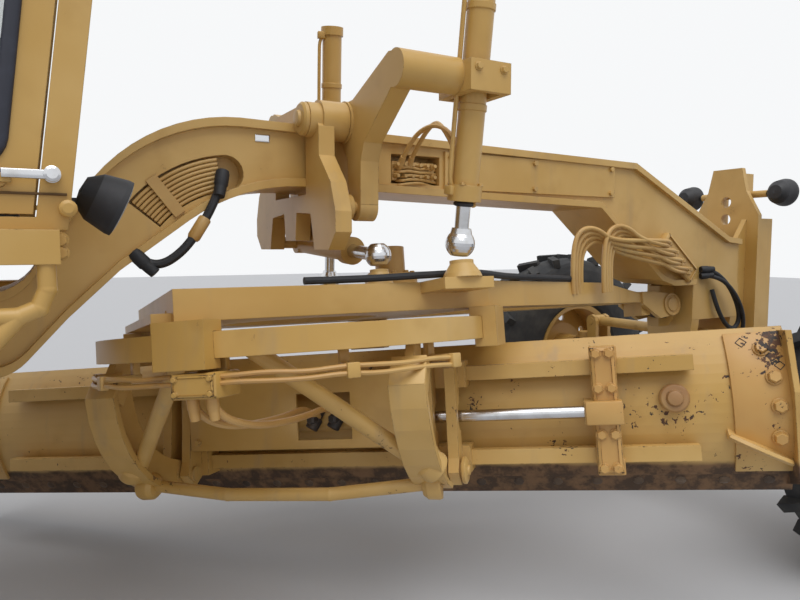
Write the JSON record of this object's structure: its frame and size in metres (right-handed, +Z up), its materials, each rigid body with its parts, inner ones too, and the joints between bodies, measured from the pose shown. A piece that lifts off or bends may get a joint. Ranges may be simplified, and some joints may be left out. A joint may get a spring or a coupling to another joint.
{
  "type": "motor grader",
  "caption": "Articulated motor grader: arched front frame, leaning front wheels, turning circle with long blade, closed cab and driven tandem axles.",
  "frame": {"origin": "on the ground under the middle of the machine's length, on the centre plane of its wheels", "axes": "+X forward, +Y to the machine's left, +Z up"},
  "size_m": [8.231, 2.6799, 3.201],
  "materials": {
    "yellow_paint": "worn satin construction yellow",
    "tan_paint": "worn darker yellow",
    "dark_paint": "satin black",
    "tyre_rubber": "dusty black",
    "worn_steel": "worn brown steel",
    "rod_chrome": "bright",
    "clear_glass": "clear",
    "lamp_body": "black with clear lens",
    "red_lens": "red"
  },
  "bodies": {
    "rear": {"rear_frame": "yellow_paint", "engine": "dark_paint", "engine_hood": "yellow_paint", "radiator_grille": "dark_paint", "rear_axle": "tan_paint", "tandem_cases": "yellow_paint", "rear_lamps": "red_lens"},
    "front": {"front_frame": "yellow_paint", "drawbar_socket": "yellow_paint", "frame_lines": "tan_paint", "saddle": "yellow_paint", "link_bar": "tan_paint", "lift_arms": "yellow_paint", "platform": "yellow_paint", "cab_body": "yellow_paint", "cab_roof": "yellow_paint", "cab_glass": "clear_glass", "cab_interior": "dark_paint", "front_mast": "yellow_paint", "front_lamps": "lamp_body", "front_axle": "yellow_paint"},
    "door_left": {"door_left": "yellow_paint", "door_glass_left": "clear_glass"},
    "door_right": {"door_right": "yellow_paint", "door_glass_right": "clear_glass"},
    "wheel_front_left": {"tyre_front_left": "tyre_rubber", "rim_front_left": "yellow_paint"},
    "wheel_front_right": {"tyre_front_right": "tyre_rubber", "rim_front_right": "yellow_paint"},
    "wheel_mid_left": {"tyre_mid_left": "tyre_rubber", "rim_mid_left": "yellow_paint"},
    "wheel_mid_right": {"tyre_mid_right": "tyre_rubber", "rim_mid_right": "yellow_paint"},
    "wheel_rear_left": {"tyre_rear_left": "tyre_rubber", "rim_rear_left": "yellow_paint"},
    "wheel_rear_right": {"tyre_rear_right": "tyre_rubber", "rim_rear_right": "yellow_paint"},
    "lift_cylinder_left": {"lift_cylinder_left": "yellow_paint"},
    "lift_rod_left": {"lift_rod_left": "rod_chrome"},
    "lean_bracket_left": {"lean_bracket_left": "yellow_paint"},
    "knuckle_left": {"knuckle_left": "tan_paint"},
    "lift_cylinder_right": {"lift_cylinder_right": "yellow_paint"},
    "lift_rod_right": {"lift_rod_right": "rod_chrome"},
    "lean_bracket_right": {"lean_bracket_right": "yellow_paint"},
    "knuckle_right": {"knuckle_right": "tan_paint"},
    "lean_bar": {"lean_bar": "yellow_paint"},
    "tie_rod_end": {"tie_rod_end": "tan_paint"},
    "tie_rod": {"tie_rod": "tan_paint"},
    "shift_cylinder": {"shift_cylinder": "yellow_paint"},
    "shift_rod": {"shift_rod": "rod_chrome"},
    "ball": {"drawbar_ball": "worn_steel"},
    "drawbar": {"drawbar": "yellow_paint"},
    "circle": {"circle": "yellow_paint", "blade_arms": "yellow_paint"},
    "carrier": {"blade_carrier": "tan_paint", "side_barrel": "yellow_paint"},
    "blade": {"mouldboard": "yellow_paint", "side_rod": "rod_chrome"}
  },
  "joints": [
    {"name": "articulation", "type": "hinge", "parent": "rear", "child": "front", "pos_m": [-0.98, 0, 1.04], "axis": [0, 0, 1], "range_deg": [-20, 20]},
    {"name": "door_left_hinge", "type": "hinge", "parent": "front", "child": "door_left", "pos_m": [-0.434, 0.716, 2.2], "axis": [0, 0, 1], "range_deg": [0, 95]},
    {"name": "door_right_hinge", "type": "hinge", "parent": "front", "child": "door_right", "pos_m": [-0.434, -0.716, 2.2], "axis": [0, 0, -1], "range_deg": [0, 95]},
    {"name": "wheel_lean", "type": "hinge", "parent": "front", "child": "lean_bracket_left", "pos_m": [3.45, 0.7, 0.64], "axis": [1, 0, 0], "range_deg": [-18, 18]},
    {"name": "wheel_lean_right", "type": "hinge", "parent": "front", "child": "lean_bracket_right", "pos_m": [3.45, -0.7, 0.64], "axis": [1, 0, 0], "range_deg": [-18, 18]},
    {"name": "lean_bar_pivot", "type": "hinge", "parent": "lean_bracket_left", "child": "lean_bar", "pos_m": [3.45, 0.7, 0.895], "axis": [1, 0, 0], "range_deg": [-18, 18]},
    {"name": "steering", "type": "hinge", "parent": "lean_bracket_left", "child": "knuckle_left", "pos_m": [3.45, 0.8, 0.64], "axis": [0, 0, 1], "range_deg": [-45, 45]},
    {"name": "steering_right", "type": "hinge", "parent": "lean_bracket_right", "child": "knuckle_right", "pos_m": [3.45, -0.8, 0.64], "axis": [0, 0, 1], "range_deg": [-45, 45]},
    {"name": "tie_rod_ball_turn", "type": "hinge", "parent": "knuckle_left", "child": "tie_rod_end", "pos_m": [3.21, 0.8, 0.412], "axis": [0, 0, 1], "range_deg": [-45, 45]},
    {"name": "tie_rod_ball_tilt", "type": "hinge", "parent": "tie_rod_end", "child": "tie_rod", "pos_m": [3.21, 0.8, 0.412], "axis": [1, 0, 0], "range_deg": [-16, 16]},
    {"name": "wheel_front_left_spin", "type": "hinge", "parent": "knuckle_left", "child": "wheel_front_left", "pos_m": [3.45, 1.02, 0.665], "axis": [0, 1, 0], "continuous": true},
    {"name": "wheel_front_right_spin", "type": "hinge", "parent": "knuckle_right", "child": "wheel_front_right", "pos_m": [3.45, -1.02, 0.665], "axis": [0, 1, 0], "continuous": true},
    {"name": "wheel_mid_left_spin", "type": "hinge", "parent": "rear", "child": "wheel_mid_left", "pos_m": [-1.71, 1.02, 0.665], "axis": [0, 1, 0], "continuous": true},
    {"name": "wheel_mid_right_spin", "type": "hinge", "parent": "rear", "child": "wheel_mid_right", "pos_m": [-1.71, -1.02, 0.665], "axis": [0, 1, 0], "continuous": true},
    {"name": "wheel_rear_left_spin", "type": "hinge", "parent": "rear", "child": "wheel_rear_left", "pos_m": [-3.23, 1.02, 0.665], "axis": [0, 1, 0], "continuous": true},
    {"name": "wheel_rear_right_spin", "type": "hinge", "parent": "rear", "child": "wheel_rear_right", "pos_m": [-3.23, -1.02, 0.665], "axis": [0, 1, 0], "continuous": true},
    {"name": "drawbar_swing", "type": "hinge", "parent": "front", "child": "ball", "pos_m": [3.18, 0, 1.06], "axis": [0, 0, 1], "range_deg": [-4, 6]},
    {"name": "drawbar_lift", "type": "hinge", "parent": "ball", "child": "drawbar", "pos_m": [3.18, 0, 1.06], "axis": [0.0311, 0.9885, -0.1478], "range_deg": [-7, 1.5]},
    {"name": "circle_turn", "type": "hinge", "parent": "drawbar", "child": "circle", "pos_m": [1.13076, 0.05627, 1.0056], "axis": [0.0046, 0.1477, 0.989], "continuous": true},
    {"name": "blade_tip", "type": "hinge", "parent": "circle", "child": "carrier", "pos_m": [1.09372, -0.05697, 0.49186], "axis": [-0.722, 0.6848, -0.0989], "range_deg": [-3, 25]},
    {"name": "blade_shift_slide", "type": "slide", "parent": "carrier", "child": "blade", "axis": [-0.722, 0.6848, -0.0989], "range_m": [-0.45, 0.45]},
    {"name": "lift_cylinder_left_yoke", "type": "hinge", "parent": "front", "child": "lift_cylinder_left", "pos_m": [1.5, 0.61, 1.93], "axis": [1, 0, 0], "range_deg": [-13.14, 8.76]},
    {"name": "lift_rod_left_slide", "type": "slide", "parent": "lift_cylinder_left", "child": "lift_rod_left", "axis": [-0.0432, -0.1502, 0.9877], "range_m": [-0.19325, 0.04141]},
    {"name": "lift_cylinder_right_yoke", "type": "hinge", "parent": "front", "child": "lift_cylinder_right", "pos_m": [1.5, -0.61, 1.93], "axis": [1, 0, 0], "range_deg": [-18.1, 12.07]},
    {"name": "lift_rod_right_slide", "type": "slide", "parent": "lift_cylinder_right", "child": "lift_rod_right", "axis": [0.0147, -0.1204, 0.9926], "range_m": [-0.1968, 0.04217]},
    {"name": "shift_cylinder_tilt", "type": "hinge", "parent": "front", "child": "shift_cylinder", "pos_m": [1.23, 0.3, 1.4], "axis": [1, 0, 0], "range_deg": [-3.72, 17.38]},
    {"name": "shift_rod_slide", "type": "slide", "parent": "shift_cylinder", "child": "shift_rod", "axis": [0.0765, -0.9941, -0.0771], "range_m": [-0.13369, 0.20054]}
  ],
  "couplings": [
    {"joint": "wheel_lean_right", "follows": "wheel_lean", "ratio": 1},
    {"joint": "lean_bar_pivot", "follows": "wheel_lean", "ratio": -1},
    {"joint": "steering_right", "follows": "steering", "ratio": 1},
    {"joint": "tie_rod_ball_turn", "follows": "steering", "ratio": -1},
    {"joint": "tie_rod_ball_tilt", "follows": "wheel_lean", "ratio": -0.875},
    {"joint": "lift_cylinder_left_yoke", "follows": "drawbar_swing", "ratio": -2.1895},
    {"joint": "lift_rod_left_slide", "follows": "drawbar_lift", "m_per_rad": 1.5818},
    {"joint": "lift_cylinder_right_yoke", "follows": "drawbar_swing", "ratio": -3.0165},
    {"joint": "lift_rod_right_slide", "follows": "drawbar_lift", "m_per_rad": 1.6109},
    {"joint": "shift_cylinder_tilt", "follows": "drawbar_lift", "ratio": -2.4828},
    {"joint": "shift_rod_slide", "follows": "drawbar_swing", "m_per_rad": 1.915}
  ]
}
